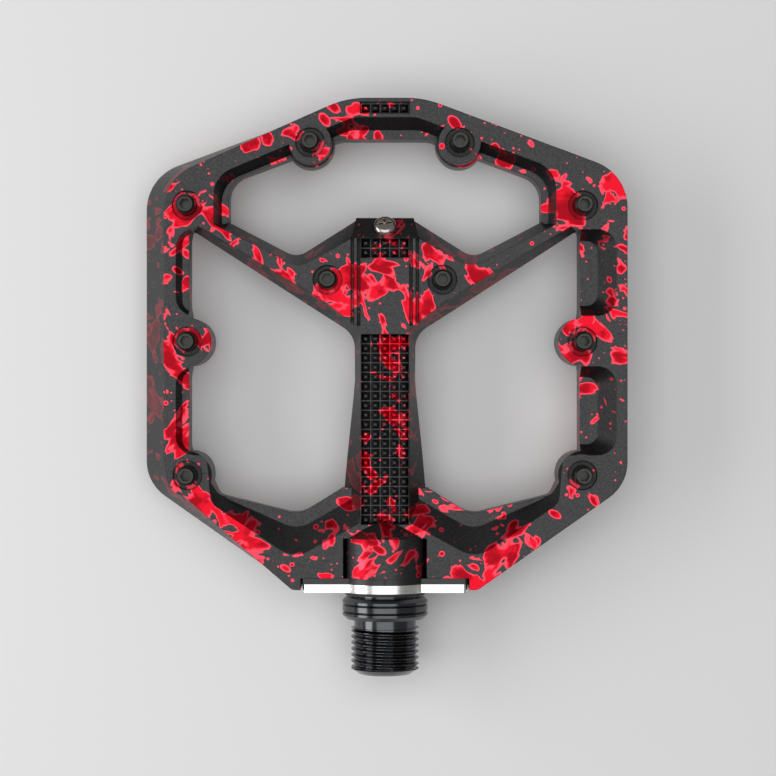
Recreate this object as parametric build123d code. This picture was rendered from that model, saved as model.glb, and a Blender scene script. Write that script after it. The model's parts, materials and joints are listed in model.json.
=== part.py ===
"""A thin two-sided platform pedal with its axle, built as the real one is assembled.

Frame: +Z is the normal of the front tread face, the axle lies along Y with its crank
thread towards -Y, and the origin is on the axle axis where the crank thread starts.
The body is the same from both sides: the rear is the front turned half a turn about Y.
"""
from build123d import *
import math
import os

# ---------------------------------------------------------------- driving dimensions, mm
# axle
THREAD_D = 14.288            # 9/16 in, 20 threads per inch
THREAD_LENGTH = 8.6
THREAD_LEAD_IN = 1.1
HEX_AF = 8.0
HEX_DEPTH = 8.0
NECK_D = 13.0
NECK_LENGTH = 1.9
COLLAR_D = 18.0
COLLAR_LENGTH = 4.6
COLLAR_ROUND = 0.8
COLLAR_GROOVE = 0.35
COLLAR_GROOVES = 2
SEAL_JOURNAL_D = 13.4
BUSHING_JOURNAL_D = 12.0
WAIST_D = 7.8
AXLE_THREAD_D = 4.0
AXLE_THREAD_LENGTH = 5.1

# bearings and seals
RUNNING = 0.03               # radial clearance of a running fit
BEARING_BORE = 5.0
BEARING_OD = 9.0
BEARING_WIDTH = 3.0
RACE_WALL = 0.55
BALL_D = 1.2
BALL_COUNT = 9
BALL_CLEARANCE = 0.03
SHIELD_T = 0.2
CAGE_WALL = 0.3
CAGE_RAIL = 0.35            # what the cage leaves each side of a ball
BUSHING_WALL = 1.0
BUSHING_LENGTH = 6.0
SEAL_D = 16.8
SEAL_DEPTH = 1.8
SEAL_LIP_T = 0.7
BORE_GAP = 0.4               # between the axle waist and the bore round it
LOCK_NUT_AF = 7.0
LOCK_NUT_H = 4.0
WASHER_T = 0.5
THRUST_WASHER_T = 0.8

# plates at the crank end
PLATE_GAP = 1.2              # from the collar to the end plate
END_PLATE_T = 1.8
END_PLATE_HALF = 17.15
SPACER_PLATE_T = 1.2
SPACER_PLATE_HALF = 17.4
PLATE_CORNER = 1.0
SPACER_SLIT = 0.4
NOTCH_CLEARANCE = 0.15
PLATE_SCREW_X = 13.2
PLATE_SCREW_D = 3.0
PLATE_SCREW_HEAD_D = 5.4
PLATE_SCREW_LENGTH = 6.5
PLATE_SCREW_HEX = 2.0

# platform body, seen from the front; heights are measured from the plate seat
BODY_T = 12.0
BODY_WIDTH = 100.8
BODY_TOP = 99.9
BODY_LIP = 2.4               # how far the body reaches past the plate seat
TOP_HALF = 8.06
TOP_R = 20.0
SHOULDER_HEIGHT = 84.1       # where the sides meet the upper diagonals
SHOULDER_R = 10.0
HIP_HEIGHT = 19.5            # where the sides meet the lower diagonals
HIP_R = 9.0
FOOT_HALF = 19.3
FOOT_R = 2.0
BEVEL = 4.45                 # the leading edge bevel, across
BEVEL_DEPTH = 8.0            # and down
BEVEL_SHOULDER_DROP = 1.1
BEVEL_HIP_RISE = 1.2

# windows
RING_HALF = 40.8             # half the clear width across the lower windows
UPPER_HALF = 32.65           # half the clear width of the upper window
WINDOW_TOP = 91.6
WINDOW_SHOULDER = 82.8
WINDOW_R = 5.0
WINDOW_FOOT = 13.1
WINDOW_FOOT_X = 17.9
WINDOW_FOOT_R = 6.0
LOBE_R = 5.0
LOBE_FILLET = 2.2

# traction pins
PIN_D = 4.0
PIN_LENGTH = 10.0
PIN_PROUD = 4.2
PIN_CHAMFER = 0.45
PIN_SOCKET_AF = 2.0
PIN_SOCKET_DEPTH = 2.4
PIN_FIT = 0.04
PIN_POCKET_D = 6.1
PIN_POCKET_DEPTH = 0.7
BOSS_FACE_R = 4.4
TOP_PIN = (15.55, 90.65)
CORNER_PIN = (41.2, 77.55)
WEB_PIN = (11.93, 62.1)
SIDE_PIN = (41.05, 49.25)
HIP_PIN = (41.05, 21.45)

# spine and arms
SPINE_FACE_HALF = 5.0
SPINE_WAIST_HALF = 6.4
SPINE_ROOT_HALF = 9.4
ARM_SLOPE = 0.63             # rise of the arms per unit outwards
VALLEY = (18.5, 67.0)
VALLEY_R = 4.0
VALLEY_BEVEL = 2.3
ARMPIT = (15.3, 56.5)
ARM_BEVEL = 1.9
SPINE_TOP = 50.8

# nose
NOSE_HEIGHT = 75.2
NOSE_HALF = 5.5
NOSE_EDGE = 2.4              # half the thickness left at the tip
CAP_SEAM = 70.7
CAP_HALF = 6.85
CAP_SPIGOT = 3.3
ORING_D = 1.0
PORT_HEIGHT = 73.0
PORT_HEAD_D = 4.8
PORT_HEAD_H = 1.5
PORT_SHANK_D = 2.5
PORT_SHANK_LENGTH = 4.6

# barrel round the inboard bushing
BARREL_R = 9.6
BARREL_LENGTH = 8.3
BARREL_CONE = 3.0
CHANNEL_HALF = 8.7
CHANNEL_Z = 4.3

# grip panels and grooves
GRIP_DEPTH = 0.8
GRIP_FOOT = 11.2
GRIP_TOP_LENGTH = 4.1
GROOVE_DEPTH = 0.8
GROOVE_W = 0.7
GROOVE_X = (5.45, 6.75)
GROOVE_FOOT = 52.6
RIM_GRIP = (10.3, 2.45)
RIM_GRIP_TOP = 99.1

# ---------------------------------------------------------------- worked out from them
HALF_T = BODY_T / 2
HALF_W = BODY_WIDTH / 2
SEAT_Y = NECK_LENGTH + COLLAR_LENGTH + PLATE_GAP + END_PLATE_T + SPACER_PLATE_T
TIP_Z = HALF_T + PIN_PROUD
BUSHING_Y = SEAT_Y + SEAL_DEPTH + THRUST_WASHER_T
BEARING_Y = SEAT_Y + CAP_SEAM - CAP_SPIGOT - 0.8 - AXLE_THREAD_LENGTH - BEARING_WIDTH
AXLE_TIP_Y = BEARING_Y + BEARING_WIDTH + AXLE_THREAD_LENGTH
EPS = 0.01


# ---------------------------------------------------------------- small helpers
def outline(points, radii, z=0.0):
    """A closed outline with rounded corners, as a face at height z."""
    wire = FilletPolyline(*points, radius=radii, close=True)
    return Pos(0, SEAT_Y, z) * make_face(wire.edges())


def mirrored(points, radii):
    """The right half's corners, top to bottom, and the left half's mirror image of them."""
    left = [(-x, y) for x, y in reversed(points)]
    return points + left, radii + radii[::-1]


def both_sides(solid):
    """A feature of the front face and the same one on the rear face."""
    return [solid, Rot(0, 180, 0) * solid]


def along_y(profile):
    """Turn a profile of (radius, y) points about the axle axis."""
    face = make_face(Polyline(*profile, close=True).edges())
    return revolve(face, Axis.Y)


def ring(r_in, r_out, y, length):
    """A plain ring about the axle axis."""
    return along_y([(r_in, y), (r_out, y), (r_out, y + length), (r_in, y + length)])


def rod(r, y, length):
    """A plain round bar about the axle axis."""
    return along_y([(0, y), (r, y), (r, y + length), (0, y + length)])


def upright(r, height, x, y, z):
    """A round bar along Z that starts at height z."""
    return Pos(x, SEAT_Y + y, z) * Cylinder(r, height, align=(Align.CENTER, Align.CENTER, Align.MIN))


def block(x0, x1, y0, y1, z0, z1):
    """A box between two corners, with heights measured from the plate seat."""
    box = Box(x1 - x0, y1 - y0, z1 - z0, align=(Align.MIN, Align.MIN, Align.MIN))
    return Pos(x0, SEAT_Y + y0, z0) * box


def pin_places():
    """The ten places of the traction pins, the same on both faces."""
    return [(side * x, y) for x, y in (TOP_PIN, CORNER_PIN, WEB_PIN, SIDE_PIN, HIP_PIN) for side in (-1, 1)]


# ---------------------------------------------------------------- platform body
def outer_corners(bevel):
    """The body's outline; the left side moves in by the bevel."""
    in_x = HALF_W - bevel
    drop = BEVEL_SHOULDER_DROP * bevel / BEVEL
    rise = BEVEL_HIP_RISE * bevel / BEVEL
    points = [
        (TOP_HALF, BODY_TOP), (HALF_W, SHOULDER_HEIGHT), (HALF_W, HIP_HEIGHT), (FOOT_HALF, -BODY_LIP),
        (-FOOT_HALF, -BODY_LIP), (-in_x, HIP_HEIGHT + rise), (-in_x, SHOULDER_HEIGHT - drop),
        (-TOP_HALF, BODY_TOP),
    ]
    radii = [TOP_R, SHOULDER_R, HIP_R, FOOT_R, FOOT_R, HIP_R, SHOULDER_R, TOP_R]
    return points, radii


def blank():
    """The slab with a bevel down the left of its front and the right of its rear."""
    level = HALF_T - BEVEL_DEPTH
    face = outline(*outer_corners(BEVEL), HALF_T)
    full = outline(*outer_corners(0), level)
    half = loft([full, face], ruled=True) + extrude(full, -(HALF_T + level))
    return half & (Rot(0, 180, 0) * half)


def window_ring():
    """The clear opening inside the rim, with a rounded lobe round each rim pin."""
    points, radii = mirrored(
        [
            (UPPER_HALF + (WINDOW_SHOULDER - WINDOW_TOP) / math.tan(math.radians(20.5)), WINDOW_TOP),
            (UPPER_HALF, WINDOW_SHOULDER), (UPPER_HALF, SHOULDER_HEIGHT - 10.2),
            (RING_HALF, SHOULDER_HEIGHT - 10.8), (RING_HALF, HIP_PIN[1] + 3.6),
            (HIP_PIN[0] - LOBE_R + 0.2, HIP_PIN[1] - 1.4), (HIP_PIN[0] - LOBE_R - 1.3, WINDOW_FOOT + 4.2),
            (WINDOW_FOOT_X, WINDOW_FOOT), (SPINE_ROOT_HALF - 0.6, WINDOW_FOOT + 5.6),
        ],
        [WINDOW_R, WINDOW_R, 1.0, 1.0, 1.0, 1.0, 2.0, WINDOW_FOOT_R, 1.0],
    )
    face = outline(points, radii)
    for x, y in pin_places():
        if (abs(x), y) != WEB_PIN:
            face -= Pos(x, SEAT_Y + y, 0) * Circle(LOBE_R)
    return face


def upper_pocket():
    """The front recess of the upper window, from the face down to its ledge."""
    reach = UPPER_HALF + 3.0
    ledge = UPPER_HALF + 1.5
    floor = HALF_T - 3.0
    face = [(6.6, 95.9), (reach, 85.0), (reach, 70.0), (-reach, 70.0), (-reach, 83.6), (-6.6, 95.9)]
    low = [(7.2, 93.5), (ledge, 83.6), (ledge, 70.0), (-ledge, 70.0), (-ledge, 82.4), (-7.2, 93.5)]
    radii = [WINDOW_R, 6.0, 1.0, 1.0, 6.0, WINDOW_R]
    return loft([outline(low, radii, floor), outline(face, radii, HALF_T + EPS)], ruled=True)


def side_pocket(foot, head, wide):
    """A front recess of a lower window, wide and deep on the right, a narrow step on the left."""
    floor = 2.0 if wide else HALF_T - 1.2
    wall = 7.4 if wide else 2.7
    slope = 3.64 if wide else 1.3
    side = 1 if wide else -1
    inner = RING_HALF - 6.0
    outer = RING_HALF + wall
    face = [(side * inner, head), (side * outer, head), (side * outer, foot), (side * inner, foot)]
    low = [
        (side * inner, head - slope * 0.6), (side * (outer - slope), head - slope * 0.6),
        (side * (outer - slope), foot + slope * 0.6), (side * inner, foot + slope * 0.6),
    ]
    radii = [1.0, 4.0, 4.0, 1.0]
    low_radii = [1.0, 2.5, 2.5, 1.0]
    return loft([outline(low, low_radii, floor), outline(face, radii, HALF_T + EPS)], ruled=True)


def foot_pocket(side):
    """The sloped front recess between the barrel and a hip pin."""
    floor = 2.6
    face = [(37.2, 27.0), (36.2, 15.6), (18.9, 4.0), (5.0, 11.6), (5.0, 27.0)]
    low = [(35.0, 27.0), (34.4, 17.0), (18.2, 9.9), (6.0, 17.0), (6.0, 27.0)]
    radii = [1.0, 3.0, 6.0, 1.0, 1.0]
    flip = [[(side * x, y) for x, y in points] for points in (low, face)]
    return loft([outline(flip[0], radii, floor), outline(flip[1], radii, HALF_T + EPS)], ruled=True)


def arms():
    """The front half of the two arms and the gusset where they meet the spine."""
    run = 40.0 - VALLEY[0]
    tail = 43.0 - ARMPIT[0]
    mid, mid_radii = mirrored(
        [
            (NOSE_HALF, NOSE_HEIGHT), VALLEY, (40.0, VALLEY[1] + run * 0.521), (43.0, ARMPIT[1] + tail * 0.644),
            ARMPIT, (SPINE_WAIST_HALF, SPINE_TOP), (SPINE_WAIST_HALF - 0.1, SPINE_TOP - 12.0),
        ],
        [0.4, VALLEY_R, 0.5, 0.5, 8.0, 5.0, 0.5],
    )
    face, face_radii = mirrored(
        [
            (CAP_HALF, CAP_SEAM), (VALLEY[0] - 0.6, VALLEY[1] - VALLEY_BEVEL), (40.0, 75.8), (43.2, 75.9),
            (ARMPIT[0] - 2.6, ARMPIT[1] + 1.2), (SPINE_FACE_HALF, SPINE_TOP + 1.0),
            (SPINE_FACE_HALF - 0.1, SPINE_TOP - 12.0),
        ],
        [0.4, VALLEY_R, 0.5, 0.5, 8.0, 2.0, 0.5],
    )
    return loft([outline(mid, mid_radii), outline(face, face_radii, HALF_T)], ruled=True)


def spine():
    """The spine: a six-sided section that widens from the arms down to the barrel."""
    stations = [
        (SPINE_TOP + 2.0, SPINE_WAIST_HALF), (37.0, SPINE_WAIST_HALF + 0.3), (28.5, SPINE_WAIST_HALF + 1.2),
        (18.7, SPINE_ROOT_HALF - 0.9), (BARREL_LENGTH, SPINE_ROOT_HALF),
    ]
    sections = []
    for height, half in stations:
        hexagon = Polyline(
            (half, 0), (SPINE_FACE_HALF, HALF_T), (-SPINE_FACE_HALF, HALF_T),
            (-half, 0), (-SPINE_FACE_HALF, -HALF_T), (SPINE_FACE_HALF, -HALF_T), close=True,
        )
        plane = Plane((0, SEAT_Y + height, 0), x_dir=(1, 0, 0), z_dir=(0, -1, 0))
        sections.append(plane * make_face(hexagon.edges()))
    return loft(sections)


def barrel():
    """The round housing of the inboard bushing, with a coned shoulder under the grip panel."""
    cone_top = BARREL_LENGTH + BARREL_CONE
    return along_y([
        (0, SEAT_Y), (BARREL_R, SEAT_Y), (BARREL_R, SEAT_Y + BARREL_LENGTH),
        (HALF_T + 0.3, SEAT_Y + cone_top), (HALF_T - 1.0, SEAT_Y + cone_top + 1.0), (0, SEAT_Y + cone_top + 1.0),
    ])


def pin_boss(x, y):
    """The boss that carries a pin on each face, a little wider at the middle."""
    half = Pos(x, SEAT_Y + y, HALF_T / 2) * Cone(LOBE_R, BOSS_FACE_R, HALF_T)
    return both_sides_z(half)


def both_sides_z(solid):
    """A solid and its image below the middle plane."""
    return [solid, mirror(solid, Plane.XY)]


def nose_slopes():
    """What the bevels of the nose take off above and below the tip."""
    wedge = Polyline(
        (CAP_SEAM, HALF_T), (NOSE_HEIGHT, NOSE_EDGE), (NOSE_HEIGHT + 4, NOSE_EDGE), (NOSE_HEIGHT + 4, HALF_T + 2),
        (CAP_SEAM, HALF_T + 2), close=True,
    )
    plane = Plane((-20, SEAT_Y, 0), x_dir=(0, 1, 0), z_dir=(1, 0, 0))
    return extrude(plane * make_face(wedge.edges()), 40)


def cap_wedge(clearance=0.0):
    """The wedge-shaped block of the end cap, or the room for it."""
    side = clearance
    points = [
        (NOSE_HALF + side, NOSE_HEIGHT + 3), (CAP_HALF + side, CAP_SEAM), (-CAP_HALF - side, CAP_SEAM),
        (-NOSE_HALF - side, NOSE_HEIGHT + 3),
    ]
    face = Pos(0, SEAT_Y, -HALF_T) * make_face(Polyline(*points, close=True).edges())
    return extrude(face, BODY_T)


def axle_bore():
    """The stepped bore, opened for the seal and bushing at one end and the bearing at the other."""
    seal_r = SEAL_D / 2
    bushing_r = BUSHING_JOURNAL_D / 2 + RUNNING + BUSHING_WALL
    waist_r = WAIST_D / 2 + BORE_GAP
    bushing_end = BUSHING_Y + BUSHING_LENGTH
    cone_end = SEAT_Y + BARREL_LENGTH + BARREL_CONE + 1.6
    bearing_r = BEARING_OD / 2
    return along_y([
        (0, SEAT_Y - 5), (seal_r, SEAT_Y - 5), (seal_r, SEAT_Y + SEAL_DEPTH), (bushing_r, SEAT_Y + SEAL_DEPTH),
        (bushing_r, bushing_end), (waist_r, cone_end), (waist_r, BEARING_Y), (bearing_r, BEARING_Y),
        (bearing_r, SEAT_Y + CAP_SEAM + 1), (0, SEAT_Y + CAP_SEAM + 1),
    ])


def face_cuts():
    """Grip recesses, grooves and the small panel in the top rim, for the front face."""
    top = HALF_T + 1
    cuts = [
        block(-SPINE_FACE_HALF, SPINE_FACE_HALF, GRIP_FOOT, SPINE_TOP, HALF_T - GRIP_DEPTH, top),
        block(-SPINE_FACE_HALF, SPINE_FACE_HALF, CAP_SEAM - GRIP_TOP_LENGTH, CAP_SEAM, HALF_T - GRIP_DEPTH, top),
        block(-RIM_GRIP[0] / 2, RIM_GRIP[0] / 2, RIM_GRIP_TOP - RIM_GRIP[1], RIM_GRIP_TOP, HALF_T - GRIP_DEPTH, top),
    ]
    for x in GROOVE_X:
        for side in (-1, 1):
            cuts.append(block(side * x - GROOVE_W / 2, side * x + GROOVE_W / 2, GROOVE_FOOT, CAP_SEAM + 0.3,
                              HALF_T - GROOVE_DEPTH, top))
    for side in (-1, 1):
        edge = sorted((side * SPINE_FACE_HALF, side * CHANNEL_HALF))
        cuts.append(block(edge[0], edge[1], -BODY_LIP - 1, BARREL_LENGTH, CHANNEL_Z, top))
    return cuts


def plate_notch():
    """The flat seat and the room for the two plates between the feet of the body."""
    half = SPACER_PLATE_HALF + NOTCH_CLEARANCE
    return block(-half, half, -BODY_LIP - 1, 0, -BARREL_R - 2, BARREL_R + 2)


def platform_body():
    body = blank()
    pockets = [upper_pocket(), side_pocket(54.6, 72.6, True), side_pocket(25.6, 44.1, True),
               side_pocket(54.6, 72.6, False), side_pocket(25.6, 44.1, False), foot_pocket(1), foot_pocket(-1)]
    for pocket in pockets:
        body -= both_sides(pocket)
    body -= extrude(window_ring(), HALF_T + 1, both=True)
    web = arms()
    body += (web + mirror(web, Plane.XY)) + spine()
    for x, y in pin_places():
        body += pin_boss(x, y)
    body -= both_sides(nose_slopes())
    for cut in face_cuts():
        body -= both_sides(cut)
    body += barrel()
    body -= plate_notch()
    body -= cap_wedge(0.02)
    body -= axle_bore()
    for x, y in pin_places():
        body -= upright(PIN_D / 2 + PIN_FIT, BODY_T + 2, x, y, -HALF_T - 1)
        body -= both_sides(upright(PIN_POCKET_D / 2, 1 + PIN_POCKET_DEPTH, x, y, HALF_T - PIN_POCKET_DEPTH))
    for side in (-1, 1):
        body -= plate_screw_hole(side)
    return body


# ---------------------------------------------------------------- plates and their screws
def plate(half, y, thickness, clearance):
    """A flat bar as high as the body with a disc over the barrel."""
    bar = Rectangle(2 * half, BODY_T) + Circle(BARREL_R)
    bar = fillet([v for v in bar.vertices() if abs(v.X) > half - 0.1], PLATE_CORNER)
    bar -= Circle(SEAL_D / 2 + clearance)
    plane = Plane((0, y, 0), x_dir=(1, 0, 0), z_dir=(0, 1, 0))
    return extrude(plane * bar, thickness)


def screw_shaft(side, r, y, length):
    return Pos(side * PLATE_SCREW_X, 0, 0) * rod(r, y, length)


def plate_screw_hole(side):
    return screw_shaft(side, PLATE_SCREW_D / 2 + PIN_FIT, SEAT_Y - 1, PLATE_SCREW_LENGTH + 1)


def spacer_plate():
    body = plate(SPACER_PLATE_HALF, SEAT_Y - SPACER_PLATE_T, SPACER_PLATE_T, RUNNING)
    body -= block(-SPACER_SLIT / 2, SPACER_SLIT / 2, -SPACER_PLATE_T - 1, 1, BARREL_R - 0.5, BARREL_R + 1)
    for side in (-1, 1):
        body -= screw_shaft(side, PLATE_SCREW_D / 2 + PIN_FIT, SEAT_Y - 4, 5)
    return body


def end_plate():
    face_y = SEAT_Y - SPACER_PLATE_T - END_PLATE_T
    body = plate(END_PLATE_HALF, face_y, END_PLATE_T, RUNNING)
    head_r = PLATE_SCREW_HEAD_D / 2
    shaft_r = PLATE_SCREW_D / 2 + PIN_FIT
    for side in (-1, 1):
        sink = along_y([(0, face_y - 1), (head_r + 0.05, face_y - 1), (head_r + 0.05, face_y),
                        (shaft_r, face_y + head_r + 0.05 - shaft_r), (shaft_r, face_y + 4), (0, face_y + 4)])
        body -= Pos(side * PLATE_SCREW_X, 0, 0) * sink
    return body


def end_plate_screws():
    face_y = SEAT_Y - SPACER_PLATE_T - END_PLATE_T
    head_r = PLATE_SCREW_HEAD_D / 2
    shaft_r = PLATE_SCREW_D / 2
    end = SEAT_Y + PLATE_SCREW_LENGTH - 0.3
    screw = along_y([(0, face_y), (head_r, face_y), (shaft_r, face_y + head_r - shaft_r), (shaft_r, end), (0, end)])
    socket_plane = Plane((0, face_y, 0), x_dir=(1, 0, 0), z_dir=(0, 1, 0))
    socket = extrude(socket_plane * RegularPolygon(PLATE_SCREW_HEX / 2, 6, major_radius=False), 1.2)
    screw -= socket
    return [Pos(side * PLATE_SCREW_X, 0, 0) * screw for side in (-1, 1)]


# ---------------------------------------------------------------- nose cap
def port_place():
    """The grease port's seat on the nose bevel, facing out along its normal."""
    run = NOSE_HEIGHT - CAP_SEAM
    drop = HALF_T - NOSE_EDGE
    z = HALF_T - (PORT_HEIGHT - CAP_SEAM) * drop / run
    return Plane((0, SEAT_Y + PORT_HEIGHT, z), x_dir=(1, 0, 0), z_dir=(0, drop, run))


def end_cap():
    cap = cap_wedge() - both_sides(nose_slopes())
    cap -= block(-20, 20, NOSE_HEIGHT, NOSE_HEIGHT + 5, -10, 10)
    cap += rod(BEARING_OD / 2 - RUNNING, SEAT_Y + CAP_SEAM - CAP_SPIGOT, CAP_SPIGOT + 0.5)
    groove_y = SEAT_Y + CAP_SEAM - CAP_SPIGOT / 2 - ORING_D / 2
    cap -= ring(BEARING_OD / 2 - ORING_D, BEARING_OD, groove_y, ORING_D)
    place = port_place()
    shank = Cylinder(PORT_SHANK_D / 2 + PIN_FIT, PORT_SHANK_LENGTH + 0.4, align=(Align.CENTER, Align.CENTER, Align.MAX))
    return cap - place * shank


def end_cap_oring():
    """The O-ring in its groove, squeezed to eight flats."""
    r = ORING_D / 2 - RUNNING
    y = SEAT_Y + CAP_SEAM - CAP_SPIGOT / 2
    section = Pos(BEARING_OD / 2 - ORING_D / 2 - RUNNING / 2, y) * RegularPolygon(r, 8)
    return revolve(section, Axis.Y)


def grease_port_screw():
    head = Cylinder(PORT_HEAD_D / 2, PORT_HEAD_H, align=(Align.CENTER, Align.CENTER, Align.MIN))
    head = fillet(head.edges().group_by(Axis.Z)[-1], PORT_HEAD_H * 0.6)
    shank = Cylinder(PORT_SHANK_D / 2, PORT_SHANK_LENGTH, align=(Align.CENTER, Align.CENTER, Align.MAX))
    return port_place() * (head + shank)


# ---------------------------------------------------------------- traction pins
def traction_pins():
    """The ten front pins: set screws that stand proud of the face."""
    z = TIP_Z - PIN_LENGTH
    pin = Cylinder(PIN_D / 2, PIN_LENGTH, align=(Align.CENTER, Align.CENTER, Align.MIN))
    pin = chamfer(pin.edges().group_by(Axis.Z)[-1], PIN_CHAMFER)
    socket = extrude(RegularPolygon(PIN_SOCKET_AF / 2, 6, major_radius=False), PIN_SOCKET_DEPTH)
    pin -= Pos(0, 0, PIN_LENGTH - PIN_SOCKET_DEPTH) * socket
    return [Pos(x, SEAT_Y + y, z) * pin for x, y in pin_places()]


# ---------------------------------------------------------------- bearings and seals
def groove_ball():
    return BALL_D / 2 + BALL_CLEARANCE


def pitch_r():
    inner = BEARING_BORE / 2 + RACE_WALL
    outer = BEARING_OD / 2 - RACE_WALL
    return (inner + outer) / 2


def race_track():
    """The ring-shaped room that the balls run in."""
    circle = Pos(pitch_r(), BEARING_Y + BEARING_WIDTH / 2) * Circle(groove_ball())
    return revolve(circle, Axis.Y)


def bearing_outer_race():
    r = BEARING_OD / 2
    return ring(r - RACE_WALL, r, BEARING_Y, BEARING_WIDTH) - race_track()


def bearing_inner_race():
    r = BEARING_BORE / 2
    return ring(r, r + RACE_WALL, BEARING_Y, BEARING_WIDTH) - race_track()


def bearing_shields():
    r_in = BEARING_BORE / 2 + RACE_WALL + 0.1
    r_out = BEARING_OD / 2 - RACE_WALL
    return [ring(r_in, r_out, y, SHIELD_T) for y in (BEARING_Y, BEARING_Y + BEARING_WIDTH - SHIELD_T)]


def ball_places():
    y = BEARING_Y + BEARING_WIDTH / 2
    return [Rot(0, 360 * i / BALL_COUNT, 0) * Pos(pitch_r(), y, 0) for i in range(BALL_COUNT)]


def bearing_balls():
    return [place * Sphere(BALL_D / 2) for place in ball_places()]


def bearing_cage():
    """A thin ring with a round window for each ball."""
    r = pitch_r()
    width = BALL_D + 2 * CAGE_RAIL
    cage = ring(r - CAGE_WALL / 2, r + CAGE_WALL / 2, BEARING_Y + (BEARING_WIDTH - width) / 2, width)
    for place in ball_places():
        cage -= place * Rot(0, 90, 0) * Cylinder(groove_ball(), 2 * BALL_D)
    return cage


def inboard_bushing():
    r = BUSHING_JOURNAL_D / 2 + RUNNING
    return ring(r, r + BUSHING_WALL, BUSHING_Y, BUSHING_LENGTH)


def thrust_washer():
    """Turns with the axle between its seal journal and the bushing."""
    r = BUSHING_JOURNAL_D / 2
    return ring(r + RUNNING, r + BUSHING_WALL - 0.15, SEAT_Y + SEAL_DEPTH + RUNNING, THRUST_WASHER_T - 2 * RUNNING)


def lip_seal():
    r_in = SEAL_JOURNAL_D / 2 + RUNNING
    r_out = SEAL_D / 2
    lip_y = SEAT_Y - SPACER_PLATE_T - END_PLATE_T - SEAL_LIP_T
    return ring(r_in, r_out, lip_y, SEAT_Y + SEAL_DEPTH - lip_y)


# ---------------------------------------------------------------- axle
def spindle():
    thread_r = THREAD_D / 2
    collar_r = COLLAR_D / 2
    seal_r = SEAL_JOURNAL_D / 2
    journal_r = BUSHING_JOURNAL_D / 2
    waist_r = WAIST_D / 2
    seat_r = BEARING_BORE / 2
    stud_r = AXLE_THREAD_D / 2
    collar_end = NECK_LENGTH + COLLAR_LENGTH
    seal_end = SEAT_Y + SEAL_DEPTH
    bushing_end = BUSHING_Y + BUSHING_LENGTH
    tip = -THREAD_LENGTH - THREAD_LEAD_IN
    body = along_y([
        (0, tip), (thread_r - 1.7, tip), (thread_r, -THREAD_LENGTH), (thread_r, 0), (NECK_D / 2, 0),
        (NECK_D / 2, NECK_LENGTH), (collar_r - COLLAR_ROUND, NECK_LENGTH), (collar_r, NECK_LENGTH + COLLAR_ROUND),
        (collar_r, collar_end - COLLAR_ROUND), (collar_r - COLLAR_ROUND, collar_end), (seal_r, collar_end),
        (seal_r, seal_end), (journal_r, seal_end), (journal_r, bushing_end), (waist_r, bushing_end + 2.5),
        (waist_r, BEARING_Y - 1.2), (seat_r + 0.5, BEARING_Y), (seat_r, BEARING_Y),
        (seat_r, BEARING_Y + BEARING_WIDTH), (stud_r, BEARING_Y + BEARING_WIDTH), (stud_r, AXLE_TIP_Y), (0, AXLE_TIP_Y),
    ])
    pitch = COLLAR_LENGTH / (COLLAR_GROOVES + 1)
    for i in range(COLLAR_GROOVES):
        y = NECK_LENGTH + pitch * (i + 1)
        body -= along_y([(collar_r - COLLAR_GROOVE, y), (collar_r + 0.2, y - COLLAR_GROOVE), (collar_r + 0.2, y + COLLAR_GROOVE)])
    socket_plane = Plane((0, tip, 0), x_dir=(1, 0, 0), z_dir=(0, 1, 0))
    socket = extrude(socket_plane * RegularPolygon(HEX_AF / 2, 6, major_radius=False), HEX_DEPTH)
    return body - socket


def nut_washer():
    y = BEARING_Y + BEARING_WIDTH
    return ring(AXLE_THREAD_D / 2, BEARING_BORE / 2 + RACE_WALL, y, WASHER_T)


def lock_nut():
    y = BEARING_Y + BEARING_WIDTH + WASHER_T
    plane = Plane((0, y, 0), x_dir=(1, 0, 0), z_dir=(0, 1, 0))
    nut = extrude(plane * RegularPolygon(LOCK_NUT_AF / 2, 6, major_radius=False), LOCK_NUT_H)
    return nut - rod(AXLE_THREAD_D / 2 + RUNNING, y - 1, LOCK_NUT_H + 2)


# ---------------------------------------------------------------- one file for each piece
def main():
    front_pins = traction_pins()
    pieces = {
        "platform_body": platform_body(),
        "end_cap": end_cap(),
        "end_cap_oring": end_cap_oring(),
        "grease_port_screw": grease_port_screw(),
        "bearing_outer_race": bearing_outer_race(),
        "bearing_shields": bearing_shields(),
        "inboard_bushing": inboard_bushing(),
        "lip_seal": lip_seal(),
        "spacer_plate": spacer_plate(),
        "end_plate": end_plate(),
        "end_plate_screws": end_plate_screws(),
        "traction_pins_front": front_pins,
        "traction_pins_rear": [Rot(0, 180, 0) * pin for pin in front_pins],
        "spindle": spindle(),
        "thrust_washer": thrust_washer(),
        "bearing_inner_race": bearing_inner_race(),
        "nut_washer": nut_washer(),
        "lock_nut": lock_nut(),
        "bearing_balls": bearing_balls(),
        "bearing_cage": bearing_cage(),
    }
    os.makedirs("parts", exist_ok=True)
    for name, piece in pieces.items():
        solid = Compound(children=piece) if isinstance(piece, list) else piece
        export_step(solid, f"parts/{name}.step")


if __name__ == "__main__":
    main()
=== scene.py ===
"""Dresses a thin flat pedal: finishes, grip pyramids, crank thread, port screw and stage."""

import json
import math

import bmesh
import bpy
from mathutils import Matrix, Vector


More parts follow.
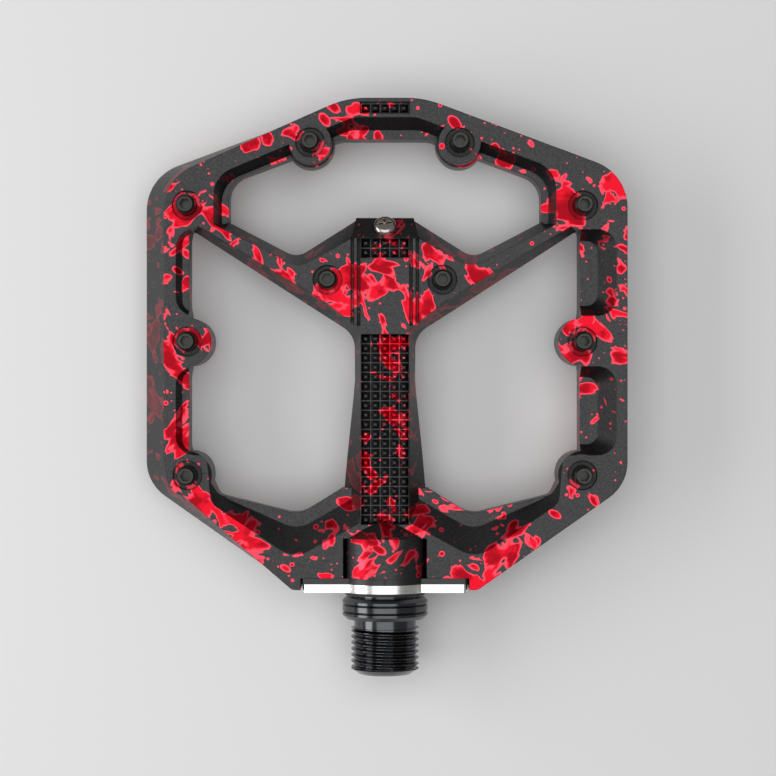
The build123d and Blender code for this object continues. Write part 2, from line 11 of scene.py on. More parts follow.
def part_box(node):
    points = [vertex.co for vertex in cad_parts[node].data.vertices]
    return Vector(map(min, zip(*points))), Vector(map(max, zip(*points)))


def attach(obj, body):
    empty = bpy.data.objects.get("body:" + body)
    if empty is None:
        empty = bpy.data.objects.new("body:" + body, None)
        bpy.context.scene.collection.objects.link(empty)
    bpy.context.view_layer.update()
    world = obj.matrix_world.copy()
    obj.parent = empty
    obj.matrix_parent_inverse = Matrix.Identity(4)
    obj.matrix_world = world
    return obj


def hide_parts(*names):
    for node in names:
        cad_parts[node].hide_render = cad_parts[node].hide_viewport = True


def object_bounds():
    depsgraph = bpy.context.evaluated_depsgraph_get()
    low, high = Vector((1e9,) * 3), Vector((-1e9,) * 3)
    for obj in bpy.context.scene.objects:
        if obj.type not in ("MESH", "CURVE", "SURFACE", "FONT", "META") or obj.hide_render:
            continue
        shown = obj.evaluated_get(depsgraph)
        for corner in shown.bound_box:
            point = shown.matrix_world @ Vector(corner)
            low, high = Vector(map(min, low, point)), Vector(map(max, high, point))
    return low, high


bl_info = {
    "name": "Flat Pedal Dresser",
    "version": (1, 0, 0),
    "blender": (4, 5, 0),
    "location": "3D View > Sidebar > Pedal",
    "description": "Adds the finishes, crank thread, grip panels and port screw to a flat pedal",
    "category": "Object",
}

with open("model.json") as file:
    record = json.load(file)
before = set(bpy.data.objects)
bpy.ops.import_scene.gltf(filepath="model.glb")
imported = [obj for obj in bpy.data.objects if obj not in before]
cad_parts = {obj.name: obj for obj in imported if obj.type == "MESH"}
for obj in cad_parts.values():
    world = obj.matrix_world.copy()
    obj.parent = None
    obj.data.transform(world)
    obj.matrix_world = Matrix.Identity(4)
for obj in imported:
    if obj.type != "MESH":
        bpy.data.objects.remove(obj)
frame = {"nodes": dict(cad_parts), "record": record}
CAD_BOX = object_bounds()
MM = 0.001
TOUCH = 0.001 * MM                # closer than this counts as the same place

# grip panels: label, rows of pyramids, foot of the first row above the plate seat in mm
GRIP_PANELS = (("spine", 20, 11.2), ("nose", 2, 66.72), ("rim", 1, 96.77))
HALF_THICKNESS = 6.0 * MM         # from the body's middle plane to each face
BODY_LIP = 2.4 * MM               # how far the body's feet reach past the plate seat

# crank thread, along -Y from the origin
THREAD_FOOT = -8.6 * MM           # where the lead-in starts
THREAD_OVERLAP = 0.35 * MM        # how far the thread runs on over the lead-in
THREAD_RUNOUT = 0.7 * MM
THREAD_AROUND = 96
RINGS_PER_PITCH = 10
FLAT_SHARE = 0.06                 # of a pitch, half the flat at a root or a crest
SKIN_SHARE = 0.995                # of the thread's radius: the blank's faces beyond it are taken off
AXLE_CREASE = 40                  # degrees between faces that stay sharp

# cross recess of the port screw
CROSS_RISE = 0.5 * MM             # how far the cutter stands out of the head
CROSS_TAPER = 0.75                # its lower end, as a share of its upper end
CROSS_TURN = math.radians(12)
CROWN_LEAN = 0.3                  # least share of +Y and of +Z in the crown's direction
SAME_WAY = 0.02                   # faces whose directions differ by less lie on one plane
SCREW_CREASE = 30

# stage, in metres: name, side step and height, turn about Y, size and power in watts of each lamp
LAMPS = (
    ("overhead_softbox", (0.0, 0.75), 0.0, (0.9, 0.9), 3.7),
    ("left_softbox", (-0.55, 0.28), math.radians(-63), (0.3, 0.6), 2.0),
)
FLOOR_SIZE = 4.0
FLOOR_GAP = 0.1 * MM              # between the pedal and the floor
SKY_LIGHT = 0.22
SKY_BACKDROP = 0.8
CAMERA_LENS = 99.14
CAMERA_SENSOR = 36.0
CAMERA_HEIGHT = 0.45
CAMERA_NEAR = 0.01
CAMERA_OFFSET = (0.63 * MM, -0.15 * MM)


# ---------------------------------------------------------------- settings
class PedalGripSettings(bpy.types.PropertyGroup):
    """Sizes of the raised grip pattern"""
    pitch: bpy.props.FloatProperty(
        name="Pitch", description="Distance between two pyramids", default=1.98 * MM, unit="LENGTH")
    columns: bpy.props.IntProperty(
        name="Columns", description="Pyramids across the spine", default=5, min=1)
    base: bpy.props.FloatProperty(
        name="Base", description="Width of a pyramid at its foot", default=1.72 * MM, unit="LENGTH")
    tip: bpy.props.FloatProperty(
        name="Tip", description="Width of a pyramid's flat tip", default=0.46 * MM, unit="LENGTH")
    depth: bpy.props.FloatProperty(
        name="Depth", description="Depth of the panel that they stand in", default=0.8 * MM, unit="LENGTH")


class PedalThreadSettings(bpy.types.PropertyGroup):
    """Sizes of the crank thread and of the port screw's recess"""
    crank_pitch: bpy.props.FloatProperty(
        name="Crank pitch", description="Pitch of the crank thread", default=1.27 * MM, unit="LENGTH")
    crank_depth: bpy.props.FloatProperty(
        name="Crank depth", description="Depth of the crank thread", default=0.72 * MM, unit="LENGTH")
    crank_hand: bpy.props.IntProperty(
        name="Crank hand", description="1 for right-hand, -1 for left-hand", default=-1, min=-1, max=1)
    cross_arm: bpy.props.FloatProperty(
        name="Cross", description="Length of the port screw's cross recess",
        default=2.9 * MM, unit="LENGTH")
    cross_width: bpy.props.FloatProperty(
        name="Cross width", description="Width of the cross recess",
        default=0.62 * MM, unit="LENGTH")
    cross_depth: bpy.props.FloatProperty(
        name="Cross depth", description="Depth of the cross recess", default=0.9 * MM, unit="LENGTH")


class PedalFinishSettings(bpy.types.PropertyGroup):
    """Colours of the finishes"""
    charcoal: bpy.props.FloatVectorProperty(
        name="Charcoal", description="Body colour", subtype="COLOR", size=3,
        default=(0.048, 0.048, 0.05))
    red: bpy.props.FloatVectorProperty(
        name="Red", description="Splash colour", subtype="COLOR", size=3,
        default=(0.66, 0.005, 0.02))
    deep_red: bpy.props.FloatVectorProperty(
        name="Deep red", description="Splash colour where it lies thick", subtype="COLOR", size=3,
        default=(0.30, 0.001, 0.008))
    pink: bpy.props.FloatVectorProperty(
        name="Pink", description="Colour of the splashes' rims", subtype="COLOR", size=3,
        default=(0.86, 0.06, 0.10))


# ---------------------------------------------------------------- shader helpers
class Shade:
    """A short way to build a node tree: each call adds a node and returns its output."""

    def __init__(self, name):
        self.material = bpy.data.materials.new(name)
        self.material.use_nodes = True
        self.tree = self.material.node_tree
        self.bsdf = self.tree.nodes["Principled BSDF"]
        self.object = self.node("ShaderNodeTexCoord").outputs["Object"]

    def node(self, kind, **inputs):
        """A new node; an input's key is its label with _ for spaces, or _0, _1 and so on by place."""
        node = self.tree.nodes.new(kind)
        for key, value in inputs.items():
            self.feed(node, key, value)
        return node

    def feed(self, node, key, value):
        socket = node.inputs[int(key[1:])] if key[0] == "_" else node.inputs[key.replace("_", " ")]
        if isinstance(value, bpy.types.NodeSocket):
            self.tree.links.new(value, socket)
        else:
            socket.default_value = value

    def math(self, operation, a, b=0.0, c=0.0):
        node = self.tree.nodes.new("ShaderNodeMath")
        node.operation = operation
        for index, value in enumerate((a, b, c)):
            self.feed(node, f"_{index}", value)
        return node.outputs[0]

    def vector(self, operation, a, b=(0, 0, 0), scale=None):
        node = self.tree.nodes.new("ShaderNodeVectorMath")
        node.operation = operation
        self.feed(node, "_0", a)
        self.feed(node, "_1", b)
        if scale is not None:
            node.inputs["Scale"].default_value = scale
        return node.outputs[0]

    def place(self, scale, turn=0.0, shift=(0, 0, 0)):
        """Object coordinates turned about Z, then in pattern units: scale is in repeats per millimetre."""
        turned = self.node("ShaderNodeMapping", Vector=self.object)
        turned.inputs["Rotation"].default_value = (0, 0, math.radians(turn))
        node = self.node("ShaderNodeMapping", Vector=turned.outputs[0])
        node.inputs["Scale"].default_value = [s / MM for s in scale]
        node.inputs["Location"].default_value = shift
        return node.outputs[0]

    def noise(self, vector, detail=2.0, roughness=0.5, output="Fac"):
        node = self.node("ShaderNodeTexNoise", Vector=vector, Scale=1.0, Detail=detail, Roughness=roughness)
        return node.outputs[output]

    def cells(self, vector):
        return self.node("ShaderNodeTexVoronoi", Vector=vector, Scale=1.0)

    def step(self, value, low, high):
        """0 below low, 1 above high, smooth between."""
        node = self.tree.nodes.new("ShaderNodeMapRange")
        node.interpolation_type = "SMOOTHSTEP"
        self.feed(node, "Value", value)
        node.inputs["From Min"].default_value = low
        node.inputs["From Max"].default_value = high
        return node.outputs[0]

    def mix(self, factor, a, b):
        node = self.tree.nodes.new("ShaderNodeMix")
        node.data_type = "RGBA"
        self.feed(node, "Factor", factor)
        for socket, value in ((node.inputs[6], a), (node.inputs[7], b)):
            if isinstance(value, bpy.types.NodeSocket):
                self.tree.links.new(value, socket)
            else:
                socket.default_value = (*value[:3], 1.0)
        return node.outputs[2]

    def bump(self, height, distance, strength, normal=None):
        """A rough surface, its distance in millimetres."""
        node = self.node("ShaderNodeBump", Height=height, Distance=distance * MM, Strength=strength)
        if normal is not None:
            self.tree.links.new(normal, node.inputs["Normal"])
        return node.outputs[0]

    def bevel(self, radius):
        """Light catches a rounded edge of this radius in millimetres."""
        node = self.node("ShaderNodeBevel", Radius=radius * MM)
        node.samples = 4
        return node.outputs[0]

    def hollow_shade(self, reach):
        """Painted shade: 0 deep in a groove or valley, 1 on an open face; reach is in millimetres."""
        node = self.node("ShaderNodeAmbientOcclusion", Distance=reach * MM)
        node.samples = 8
        return node.outputs["AO"]

    def finish(self, **inputs):
        for key, value in inputs.items():
            if isinstance(value, tuple) and len(value) == 3:
                value = (*value, 1.0)
            self.feed(self.bsdf, key, value)
        return self.material


def splash_field(shade):
    """How far inside a splash a point lies, in millimetres: over 0 is paint."""
    middle = (0.5, 0.5, 0.5)
    warp = shade.noise(shade.place((0.13, 0.13, 0.05)), output="Color")
    pull = shade.vector("SUBTRACT", warp, middle)
    fine = shade.noise(shade.place((0.75, 0.75, 0.3)), output="Color")
    fine_pull = shade.vector("SUBTRACT", fine, middle)

    def moved(scale, turn, shift, amount, rough):
        """A place in pattern units, pushed about so that the pattern's edges wander and fray."""
        at = shade.place(scale, turn, shift)
        at = shade.vector("ADD", at, shade.vector("SCALE", pull, scale=amount))
        return shade.vector("ADD", at, shade.vector("SCALE", fine_pull, scale=rough))

    # torn patches
    wide = shade.noise(moved((0.13, 0.13, 0.09), 20, (3.7, 1.2, 0), 0.7, 0.14))
    field = shade.math("MULTIPLY", shade.math("SUBTRACT", wide, 0.655), 9.0)
    # flung strands in three directions, each thick in some places and gone in others
    for turn, shift in ((-35, (8.1, 2.2, 0)), (48, (1.3, 7.7, 0)), (100, (5.9, 3.1, 0))):
        line = shade.noise(moved((0.3, 0.075, 0.15), turn, shift, 0.6, 0.14))
        flow = shade.noise(shade.place((0.13, 0.085, 0.08), turn, (shift[1], shift[0], 0)))
        width = shade.math("MULTIPLY", shade.math("SUBTRACT", flow, 0.585), 7.5)
        off = shade.math("MULTIPLY", shade.math("ABSOLUTE", shade.math("SUBTRACT", line, 0.5)), 4.0)
        field = shade.math("MAXIMUM", field, shade.math("SUBTRACT", width, off))
    # round and pulled drops: repeats per millimetre, turn, largest radius, share of cells left bare
    drops = (
        ((0.075, 0.075, 0.06), 10, 0.14, 0.55), ((0.20, 0.12, 0.13), -40, 0.27, 0.55),
        ((0.14, 0.26, 0.13), 30, 0.27, 0.6), ((0.42, 0.42, 0.3), 0, 0.3, 0.5),
        ((0.9, 0.9, 0.6), 0, 0.3, 0.66),
    )
    for scale, turn, largest, bare in drops:
        drop = shade.cells(moved(scale, turn, (scale[0] * 31, scale[1] * 17, 0), 0.12, 0.05))
        draw = shade.node("ShaderNodeSeparateColor", Color=drop.outputs["Color"]).outputs[0]
        radius = shade.math("MULTIPLY", shade.math("SUBTRACT", draw, bare), largest / (1 - bare))
        inside = shade.math("SUBTRACT", radius, drop.outputs["Distance"])
        field = shade.math("MAXIMUM", field, shade.math("MULTIPLY", inside, 1 / max(scale)))
    return field


def shades_of(colour, low, high):
    """A darker and a lighter version of a colour."""
    return [tuple(min(1.0, share * c) for c in colour) for share in (low, high)]


def body_material(finish):
    """Blasted and anodised charcoal with red splashes; painted shade fades the splashes toward charcoal on
    the steep sides and darkens the grooves and pockets.
    """
    shade = Shade("anodised_splash")
    field = splash_field(shade)
    grain = shade.noise(shade.place((2.2, 2.2, 2.2)), detail=4.0, roughness=0.75)
    speck = shade.noise(shade.place((6.0, 6.0, 6.0)), detail=1.0)
    tone = shade.math("ADD", shade.math("MULTIPLY", grain, 0.9), shade.math("MULTIPLY", speck, 0.5))
    charcoal = shade.mix(shade.step(tone, 0.45, 0.95), *shades_of(finish.charcoal, 0.62, 1.35))
    depth = shade.noise(shade.place((0.16, 0.16, 0.06), 15), detail=4.0, roughness=0.6)
    thick = shade.math("MULTIPLY", shade.step(field, 0.15, 0.5), shade.step(depth, 0.40, 0.54))
    paint = shade.mix(thick, tuple(finish.red), tuple(finish.deep_red))
    paint = shade.mix(shade.step(field, 0.30, 0.14), paint, tuple(finish.pink))
    # painted shade: on steep sides, where less light falls, the splashes are faded toward the charcoal
    facing = shade.node("ShaderNodeNewGeometry").outputs["True Normal"]
    tilt = shade.math("ABSOLUTE", shade.node("ShaderNodeSeparateXYZ", Vector=facing).outputs["Z"])
    steep_side_shade = shade.math("MULTIPLY_ADD", shade.step(tilt, 0.5, 0.68), 0.72, 0.28)
    paint_with_steep_shade = shade.math("MULTIPLY", shade.step(field, 0.0, 0.07), steep_side_shade)
    colour = shade.mix(paint_with_steep_shade, charcoal, paint)
    # painted shade: grooves, valleys and pockets darkened toward near black
    colour = shade.mix(shade.step(shade.hollow_shade(1.1), 0.25, 0.85), (0.006, 0.005, 0.005), colour)
    height = shade.math("ADD", shade.math("MULTIPLY", grain, 0.5), speck)
    bump = shade.bump(height, 0.03, 0.35, shade.bevel(0.22))
    rough = shade.math("MULTIPLY_ADD", paint_with_steep_shade, -0.06, 0.42)
    return shade.finish(Base_Color=colour, Metallic=0.9, Roughness=rough, Normal=bump)


def plain_dark_material(finish):
    """The dark plate: the body's finish with no splashes."""
    shade = Shade("anodised_dark")
    grain = shade.noise(shade.place((3.0, 3.0, 3.0)), detail=3.0, roughness=0.7)
    tone = shade.mix(grain, *shades_of(finish.charcoal, 0.7, 1.3))
    bump = shade.bump(grain, 0.02, 0.3, shade.bevel(0.12))
    return shade.finish(Base_Color=tone, Metallic=0.9, Roughness=0.4, Normal=bump)


def bare_plate_material():
    """Bright machined aluminium with fine tool lines across its edge."""
    shade = Shade("bare_machined")
    lines = shade.noise(shade.place((7.0, 0.3, 0.5)), detail=3.0, roughness=0.7)
    blur = shade.noise(shade.place((0.4, 0.4, 0.4)), detail=2.0)
    colour = shade.mix(lines, (0.78, 0.77, 0.76), (0.95, 0.94, 0.93))
    rough = shade.math("MULTIPLY_ADD", blur, 0.12, 0.2)
    bump = shade.bump(lines, 0.01, 0.25, shade.bevel(0.15))
    return shade.finish(Base_Color=colour, Metallic=1.0, Roughness=rough, Normal=bump)


def turned_steel_material(name, colour, rough, line_scale=5.0, axis=1):
    """Turned steel: fine rings along one axis and a slow change of gloss."""
    shade = Shade(name)
    scale = [0.15, 0.15, 0.15]
    scale[axis] = line_scale
    rings = shade.noise(shade.place(scale), detail=2.0, roughness=0.6)
    blotch = shade.noise(shade.place((0.5, 0.5, 0.5)), detail=3.0)
    tone = shade.mix(rings, *shades_of(colour, 0.8, 1.2))
    gloss = shade.math("MULTIPLY_ADD", blotch, 0.12, rough - 0.06)
    bump = shade.bump(rings, 0.008, 0.3, shade.bevel(0.1))
    return shade.finish(Base_Color=tone, Metallic=1.0, Roughness=gloss, Normal=bump)


def rubber_material():
    """Black seal rubber."""
    shade = Shade("seal_rubber")
    grain = shade.noise(shade.place((3.0, 3.0, 3.0)), detail=3.0)
    tone = shade.mix(grain, (0.012, 0.012, 0.012), (0.026, 0.026, 0.026))
    return shade.finish(Base_Color=tone, Roughness=0.6, Normal=shade.bump(grain, 0.02, 0.3))


def polymer_material():
    """The plain bushing's amber polymer."""
    shade = Shade("bushing_polymer")
    grain = shade.noise(shade.place((1.6, 1.6, 1.6)), detail=4.0, roughness=0.7)
    tone = shade.mix(grain, (0.22, 0.16, 0.04), (0.42, 0.33, 0.1))
    return shade.finish(Base_Color=tone, Roughness=0.5, Normal=shade.bump(grain, 0.02, 0.25))


# ---------------------------------------------------------------- geometry node helpers
class Rule:
    """A short way to build a geometry node group with named inputs."""

    def __init__(self, name, inputs):
        self.group = bpy.data.node_groups.new(name, "GeometryNodeTree")
        sockets = self.group.interface
        sockets.new_socket("Geometry", in_out="INPUT", socket_type="NodeSocketGeometry")
        for label, value in inputs.items():
            kind = "NodeSocketInt" if isinstance(value, int) else "NodeSocketFloat"
            sockets.new_socket(label, in_out="INPUT", socket_type=kind).default_value = value
        sockets.new_socket("Geometry", in_out="OUTPUT", socket_type="NodeSocketGeometry")
        self.values = inputs
        self.start = self.group.nodes.new("NodeGroupInput")
        self.end = self.group.nodes.new("NodeGroupOutput")

    def __getitem__(self, label):
        return self.start.outputs[label]

    def node(self, kind, settings=None, **inputs):
        """A new node; inputs are named as in Shade.node."""
        node = self.group.nodes.new(kind)
        for key, value in (settings or {}).items():
            setattr(node, key, value)
        for key, value in inputs.items():
            socket = node.inputs[int(key[1:])] if key[0] == "_" else node.inputs[key.replace("_", " ")]
            if isinstance(value, bpy.types.NodeSocket):
                self.group.links.new(value, socket)
            else:
                socket.default_value = value
        return node

    def math(self, operation, a, b=0.0, c=0.0):
        return self.node("ShaderNodeMath", {"operation": operation}, _0=a, _1=b, _2=c).outputs[0]

    def close(self, geometry, material):
        """End the group: real geometry with its material."""
        real = self.node("GeometryNodeRealizeInstances", Geometry=geometry).outputs[0]
        done = self.node("GeometryNodeSetMaterial", Geometry=real, Material=material).outputs[0]
        self.group.links.new(done, self.end.inputs[0])

    def bake(self, name, mesh=None):
        """Run the group on a new object and keep its result as a plain mesh."""
        seed = bpy.data.objects.new(name + "_rule", mesh or bpy.data.meshes.new(name + "_seed"))
        bpy.context.scene.collection.objects.link(seed)
        modifier = seed.modifiers.new("rule", "NODES")
        modifier.node_group = self.group
        for item in self.group.interface.items_tree:
            if item.item_type == "SOCKET" and item.in_out == "INPUT" and item.name in self.values:
                modifier[item.identifier] = self.values[item.name]
        graph = bpy.context.evaluated_depsgraph_get()
        graph.update()
        made = bpy.data.meshes.new_from_object(seed.evaluated_get(graph))
        made.name = name
        bpy.data.objects.remove(seed)
        return made


def new_piece(name, mesh):
    """An object at the origin, in the scene."""
    piece = bpy.data.objects.new(name, mesh)
    bpy.context.scene.collection.objects.link(piece)
    return piece


def node_work(node):
    """A welded copy of a CAD node's mesh, in place, to be worked on."""
    work = bmesh.new()
    work.from_mesh(frame["nodes"][node].data)
    bmesh.ops.remove_doubles(work, verts=work.verts, dist=TOUCH)
    return work


def mesh_from(work, name):
    """The worked mesh as plain data."""
    mesh = bpy.data.meshes.new(name)
    work.to_mesh(mesh)
    work.free()
    return mesh


def joined(name, meshes, material):
    """One mesh out of several, with one material."""
    work = bmesh.new()
    for mesh in meshes:
        work.from_mesh(mesh)
    made = mesh_from(work, name)
    made.materials.append(material)
    return made


def smooth_by_angle(mesh, degrees):
    """Smooth faces with creases left sharp."""
    work = bmesh.new()
    work.from_mesh(mesh)
    limit = math.radians(degrees)
    for face in work.faces:
        face.smooth = True
    for edge in work.edges:
        edge.smooth = len(edge.link_faces) == 2 and edge.calc_face_angle(0.0) < limit
    work.to_mesh(mesh)
    work.free()


# ---------------------------------------------------------------- grip panels
def pyramid_mesh(grip):
    """One truncated pyramid that stands on the origin."""
    foot, tip = grip.base / 2, grip.tip / 2
    work = bmesh.new()
    corners = ((-1, -1), (1, -1), (1, 1), (-1, 1))
    low = [work.verts.new((x * foot, y * foot, 0)) for x, y in corners]
    high = [work.verts.new((x * tip, y * tip, grip.depth)) for x, y in corners]
    work.faces.new(high)
    work.faces.new(low[::-1])
    for i in range(4):
        work.faces.new((low[i], low[(i + 1) % 4], high[(i + 1) % 4], high[i]))
    return mesh_from(work, "pyramid")


def grip_panel(grip, material, name, rows, foot_y, z, rear):
    """A field of pyramids on a grid, on the front or turned over to the rear."""
    rule = Rule(name + "_grid", {
        "Pitch": grip.pitch, "Columns": grip.columns, "Rows": rows, "Foot": foot_y, "Level": z,
    })
    width = rule.math("MULTIPLY", rule.math("SUBTRACT", rule["Columns"], 1.0), rule["Pitch"])
    height = rule.math("MULTIPLY", rule.math("SUBTRACT", rule["Rows"], 1.0), rule["Pitch"])
    grid = rule.node("GeometryNodeMeshGrid", Size_X=width, Size_Y=height,
                     Vertices_X=rule["Columns"], Vertices_Y=rule["Rows"])
    middle = rule.math("MULTIPLY_ADD", height, 0.5, rule["Foot"])
    spot = rule.node("ShaderNodeCombineXYZ", X=0.0, Y=middle, Z=rule["Level"])
    placed = rule.node("GeometryNodeTransform", Geometry=grid.outputs["Mesh"], Translation=spot.outputs[0])
    points = rule.node("GeometryNodeMeshToPoints", Mesh=placed.outputs[0])
    one = rule.node("GeometryNodeInstanceOnPoints", Points=points.outputs[0], Instance=rule["Geometry"])
    turn = (0, math.pi if rear else 0, 0)
    turned = rule.node("GeometryNodeTransform", Geometry=one.outputs[0], Rotation=turn)
    rule.close(turned.outputs[0], material)
    return rule.bake(name, pyramid_mesh(grip))


# ---------------------------------------------------------------- crank thread
def thread_mesh(name, radius, sizes, low, high, material):
    """A thread's surface about Y: a tube whose radius follows the helix, faded in and out at its ends."""
    rings = int((high - low) / sizes.crank_pitch * RINGS_PER_PITCH) + 1
    rule = Rule(name + "_helix", {
        "Radius": radius, "Depth": sizes.crank_depth, "Pitch": sizes.crank_pitch,
        "Low": low, "High": high, "Runout": THREAD_RUNOUT,
    })
    tube = rule.node("GeometryNodeMeshCylinder", {"fill_type": "NONE"}, Vertices=THREAD_AROUND,
                     Side_Segments=rings, Radius=1.0, Depth=1.0)
    spot = rule.node("ShaderNodeSeparateXYZ", Vector=rule.node("GeometryNodeInputPosition").outputs[0])
    length = rule.math("SUBTRACT", rule["High"], rule["Low"])
    along = rule.math("MULTIPLY_ADD", rule.math("ADD", spot.outputs["Z"], 0.5), length, rule["Low"])
    angle = rule.math("ARCTAN2", spot.outputs["Y"], spot.outputs["X"])
    climb = rule.math("DIVIDE", along, rule["Pitch"])
    turns = rule.math("MULTIPLY_ADD", angle, sizes.crank_hand / math.tau, climb)
    wave = rule.math("ABSOLUTE", rule.math("SUBTRACT", rule.math("FRACT", turns), 0.5))
    ridge = rule.node("ShaderNodeMapRange", Value=wave, From_Min=FLAT_SHARE, From_Max=0.5 - FLAT_SHARE)
    from_low = rule.math("DIVIDE", rule.math("SUBTRACT", along, rule["Low"]), rule["Runout"])
    from_high = rule.math("DIVIDE", rule.math("SUBTRACT", rule["High"], along), rule["Runout"])
    fade = rule.math("MINIMUM", rule.math("MINIMUM", from_low, from_high), 1.0)
    crest = rule.math("MULTIPLY", ridge.outputs["Result"], fade)
    cut = rule.math("MULTIPLY", rule["Depth"], rule.math("SUBTRACT", 1.0, crest))
    at = rule.math("SUBTRACT", rule["Radius"], cut)
    where = rule.node("ShaderNodeCombineXYZ", X=rule.math("MULTIPLY", spot.outputs["X"], at), Y=along,
                      Z=rule.math("MULTIPLY", spot.outputs["Y"], at))
    moved = rule.node("GeometryNodeSetPosition", Geometry=tube.outputs["Mesh"], Position=where.outputs[0])
    flipped = rule.node("GeometryNodeFlipFaces", Mesh=moved.outputs[0])
    rule.close(flipped.outputs[0], material)
    return rule.bake(name)


# ---------------------------------------------------------------- operators
class PEDAL_OT_finishes(bpy.types.Operator):
    """Give every CAD piece its finish"""
    bl_idname = "pedal.finishes"
    bl_label = "Finishes"

    def execute(self, context):
        finish = context.scene.pedal_finish
        body = body_material(finish)
        black = turned_steel_material("black_steel", (0.04, 0.04, 0.038), 0.26, axis=2)
        axle = turned_steel_material("axle_black", (0.085, 0.087, 0.092), 0.17)
        bright = turned_steel_material("polished_steel", (0.5, 0.46, 0.43), 0.22)
        ground = turned_steel_material("ground_steel", (0.6, 0.6, 0.6), 0.25)
        brass = turned_steel_material("pressed_brass", (0.6, 0.42, 0.16), 0.32)
        looks = {
            "body_finish": body, "pin_steel": black, "bare_plate": bare_plate_material(),
            "dark_plate": plain_dark_material(finish), "axle_steel": axle, "screw_steel": bright,
            "bearing_steel": ground, "bushing_polymer": polymer_material(),
            "seal_rubber": rubber_material(), "cage_brass": brass,
        }
        for part in frame["record"]["subparts"]:
            obj = frame["nodes"][part["node"]]
            for slot in obj.material_slots:
                slot.material = looks[part["material_slot"]]
        return {"FINISHED"}


class PEDAL_OT_grips(bpy.types.Operator):
    """Stand the small pyramids in the grip panels of both faces"""
    bl_idname = "pedal.grips"
    bl_label = "Grip panels"

    def execute(self, context):
        grip = context.scene.pedal_grip
        material = bpy.data.materials["anodised_splash"]
        low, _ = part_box("platform_body")
        floor = HALF_THICKNESS - grip.depth
        seat = low[1] + BODY_LIP
        for label, rows, foot in GRIP_PANELS:
            start = seat + foot * MM + grip.pitch / 2
            for face, rear in (("front", False), ("rear", True)):
                name = f"grip_{label}_{face}"
                piece = new_piece(name, grip_panel(grip, material, name, rows, start, floor, rear))
                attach(piece, "platform")
        return {"FINISHED"}


class PEDAL_OT_axle_thread(bpy.types.Operator):
    """Cut the crank thread on the spindle"""
    bl_idname = "pedal.axle_thread"
    bl_label = "Crank thread"

    def execute(self, context):
        sizes = context.scene.pedal_thread
        material = bpy.data.materials["axle_black"]
        work = node_work("spindle")
        blank = {v: math.hypot(v.co.x, v.co.z) for v in work.verts
                 if THREAD_FOOT - TOUCH < v.co.y < TOUCH}
        radius = max(blank.values())
        skin = [f for f in work.faces if all(blank.get(v, 0.0) > radius * SKIN_SHARE for v in f.verts)]
        bmesh.ops.delete(work, geom=skin, context="FACES")
        shank = mesh_from(work, "spindle_shank")
        helix = thread_mesh("crank_thread", radius, sizes, THREAD_FOOT - THREAD_OVERLAP, 0.0, material)
        whole = joined("spindle_threaded", [shank, helix], material)
        smooth_by_angle(whole, AXLE_CREASE)
        piece = new_piece("spindle_threaded", whole)
        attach(piece, "axle")
        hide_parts("spindle")
        return {"FINISHED"}


def cross_cutter(place, arm, width, depth):
    """A cross-shaped bar that sinks into a head along the place's Z."""
    work = bmesh.new()
    half, far = width / 2, arm / 2
    outline = [
        (half, half), (half, far), (-half, far), (-half, half), (-far, half), (-far, -half),
        (-half, -half), (-half, -far), (half, -far), (half, -half), (far, -half), (far, half),
    ]
    top = [work.verts.new((x, y, CROSS_RISE)) for x, y in outline]
    low = [work.verts.new((CROSS_TAPER * x, CROSS_TAPER * y, -depth)) for x, y in outline]
    work.faces.new(top)
    work.faces.new(low[::-1])
    for i in range(len(outline)):
        j = (i + 1) % len(outline)
        work.faces.new((top[j], top[i], low[i], low[j]))
    bmesh.ops.recalc_face_normals(work, faces=work.faces)
    bmesh.ops.transform(work, matrix=place, verts=work.verts)
    return mesh_from(work, "cross_cutter")


def crown_place(work):
    """The middle of the head's flat top, facing out: the largest face that looks up the nose."""
    leaning = [f for f in work.faces if min(f.normal.y, f.normal.z) > CROWN_LEAN]
    crown = max(leaning, key=lambda f: f.calc_area())
    flats = [f for f in work.faces if (f.normal - crown.normal).length < SAME_WAY]
    top = max(f.calc_center_median().dot(crown.normal) for f in flats)
    rim = [v.co for v in dict.fromkeys(v for f in flats for v in f.verts)]
    middle = sum(rim, Vector()) / len(rim)
    middle += crown.normal * (top - middle.dot(crown.normal))
    turn = crown.normal.to_track_quat("Z", "Y").to_matrix().to_4x4()
    return Matrix.Translation(middle) @ turn @ Matrix.Rotation(CROSS_TURN, 4, "Z")


class PEDAL_OT_port_screw(bpy.types.Operator):
    """Sink the cross recess into the grease port screw"""
    bl_idname = "pedal.port_screw"
    bl_label = "Port screw"

    def execute(self, context):
        sizes = context.scene.pedal_thread
        work = node_work("grease_port_screw")
        cross = cross_cutter(crown_place(work), sizes.cross_arm, sizes.cross_width, sizes.cross_depth)
        head = new_piece("port_screw_blank", mesh_from(work, "port_screw_blank"))
        cutter = new_piece("cross_cutter", cross)
        cut = head.modifiers.new("cross", "BOOLEAN")
        cut.operation, cut.object, cut.solver = "DIFFERENCE", cutter, "EXACT"
        graph = bpy.context.evaluated_depsgraph_get()
        graph.update()
        made = bpy.data.meshes.new_from_object(head.evaluated_get(graph))
        bpy.data.objects.remove(head)
        bpy.data.objects.remove(cutter)
        whole = joined("port_screw", [made], bpy.data.materials["polished_steel"])
        smooth_by_angle(whole, SCREW_CREASE)
        piece = new_piece("port_screw", whole)
        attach(piece, "platform")
        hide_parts("grease_port_screw")
        return {"FINISHED"}


class PEDAL_OT_stage(bpy.types.Operator):
    """Floor, soft lamps and the camera above the pedal"""
    bl_idname = "pedal.stage"
    bl_label = "Stage"

    def execute(self, context):
        low, high = CAD_BOX
        middle = (Vector(low) + Vector(high)) / 2
        make_floor(low[2])
        make_world()
        for lamp in LAMPS:
            make_lamp(middle, *lamp)
        make_camera(middle)
        return {"FINISHED"}


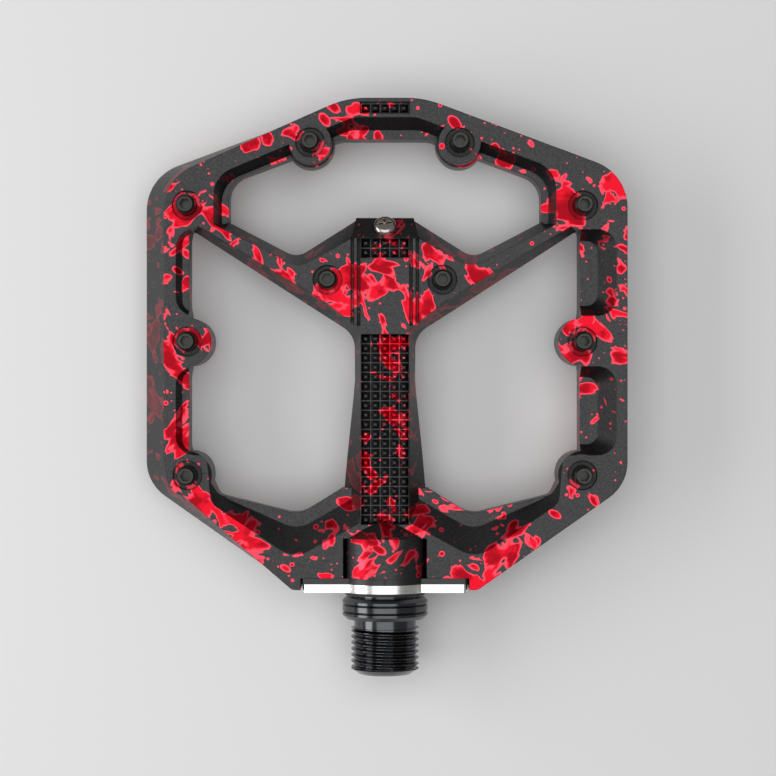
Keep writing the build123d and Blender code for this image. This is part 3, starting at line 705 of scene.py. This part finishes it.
def make_floor(level):
    """A plain pale floor just under the pedal."""
    bpy.ops.mesh.primitive_plane_add(size=FLOOR_SIZE, location=(0, 0, level - FLOOR_GAP))
    floor = bpy.context.object
    floor.name = "floor"
    shade = Shade("floor_pale")
    tone = shade.noise(shade.place((0.002, 0.002, 0.002)))
    colour = shade.mix(tone, (0.80, 0.80, 0.80), (0.84, 0.84, 0.84))
    floor.data.materials.append(shade.finish(Base_Color=colour, Roughness=0.9))


def make_world():
    """A pale backdrop for the eye, and a dimmer sky for light and reflections."""
    world = bpy.data.worlds.new("studio")
    bpy.context.scene.world = world
    world.use_nodes = True
    nodes, links = world.node_tree.nodes, world.node_tree.links
    path = nodes.new("ShaderNodeLightPath")
    strength = nodes.new("ShaderNodeMix")
    strength.data_type = "FLOAT"
    links.new(path.outputs["Is Camera Ray"], strength.inputs["Factor"])
    strength.inputs[2].default_value = SKY_LIGHT
    strength.inputs[3].default_value = SKY_BACKDROP
    background = nodes["Background"]
    background.inputs["Color"].default_value = (1, 1, 1, 1)
    links.new(strength.outputs[0], background.inputs["Strength"])


def make_lamp(middle, name, spot, turn, size, power):
    """A soft lamp beside or over the pedal's middle, turned about Y."""
    lamp = bpy.data.lights.new(name, "AREA")
    lamp.shape = "RECTANGLE"
    lamp.size, lamp.size_y = size
    lamp.energy = power
    obj = bpy.data.objects.new(name, lamp)
    obj.location = (middle.x + spot[0], middle.y, spot[1])
    obj.rotation_euler = (0, turn, 0)
    bpy.context.scene.collection.objects.link(obj)


def make_camera(middle):
    """A long lens straight above the middle of the pedal."""
    camera = bpy.data.cameras.new("camera")
    camera.lens = CAMERA_LENS
    camera.sensor_width = CAMERA_SENSOR
    camera.clip_start = CAMERA_NEAR
    obj = bpy.data.objects.new("camera", camera)
    obj.location = (middle.x + CAMERA_OFFSET[0], middle.y + CAMERA_OFFSET[1], CAMERA_HEIGHT)
    bpy.context.scene.collection.objects.link(obj)
    bpy.context.scene.camera = obj


class PEDAL_PT_panel(bpy.types.Panel):
    """Lists the steps that dress the pedal"""
    bl_label = "Pedal"
    bl_idname = "PEDAL_PT_panel"
    bl_space_type = "VIEW_3D"
    bl_region_type = "UI"
    bl_category = "Pedal"

    def draw(self, context):
        for operator in OPERATORS:
            self.layout.operator(operator.bl_idname)
        for label, kind in SETTINGS.items():
            for name in kind.__annotations__:
                self.layout.prop(getattr(context.scene, label), name)


OPERATORS = (
    PEDAL_OT_finishes, PEDAL_OT_grips, PEDAL_OT_axle_thread, PEDAL_OT_port_screw, PEDAL_OT_stage,
)
SETTINGS = {
    "pedal_grip": PedalGripSettings,
    "pedal_thread": PedalThreadSettings,
    "pedal_finish": PedalFinishSettings,
}


def register():
    for cls in (*SETTINGS.values(), *OPERATORS, PEDAL_PT_panel):
        bpy.utils.register_class(cls)
    for name, cls in SETTINGS.items():
        setattr(bpy.types.Scene, name, bpy.props.PointerProperty(type=cls))


def unregister():
    for name in SETTINGS:
        delattr(bpy.types.Scene, name)
    for cls in (PEDAL_PT_panel, *reversed(OPERATORS), *SETTINGS.values()):
        bpy.utils.unregister_class(cls)


def main():
    """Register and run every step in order."""
    register()
    bpy.context.scene.view_settings.view_transform = "Standard"
    for operator in OPERATORS:
        group, name = operator.bl_idname.split(".")
        result = getattr(getattr(bpy.ops, group), name)()
        if "FINISHED" not in result:
            raise RuntimeError(operator.bl_label + " did not finish")


if __name__ == "__main__":
    main()
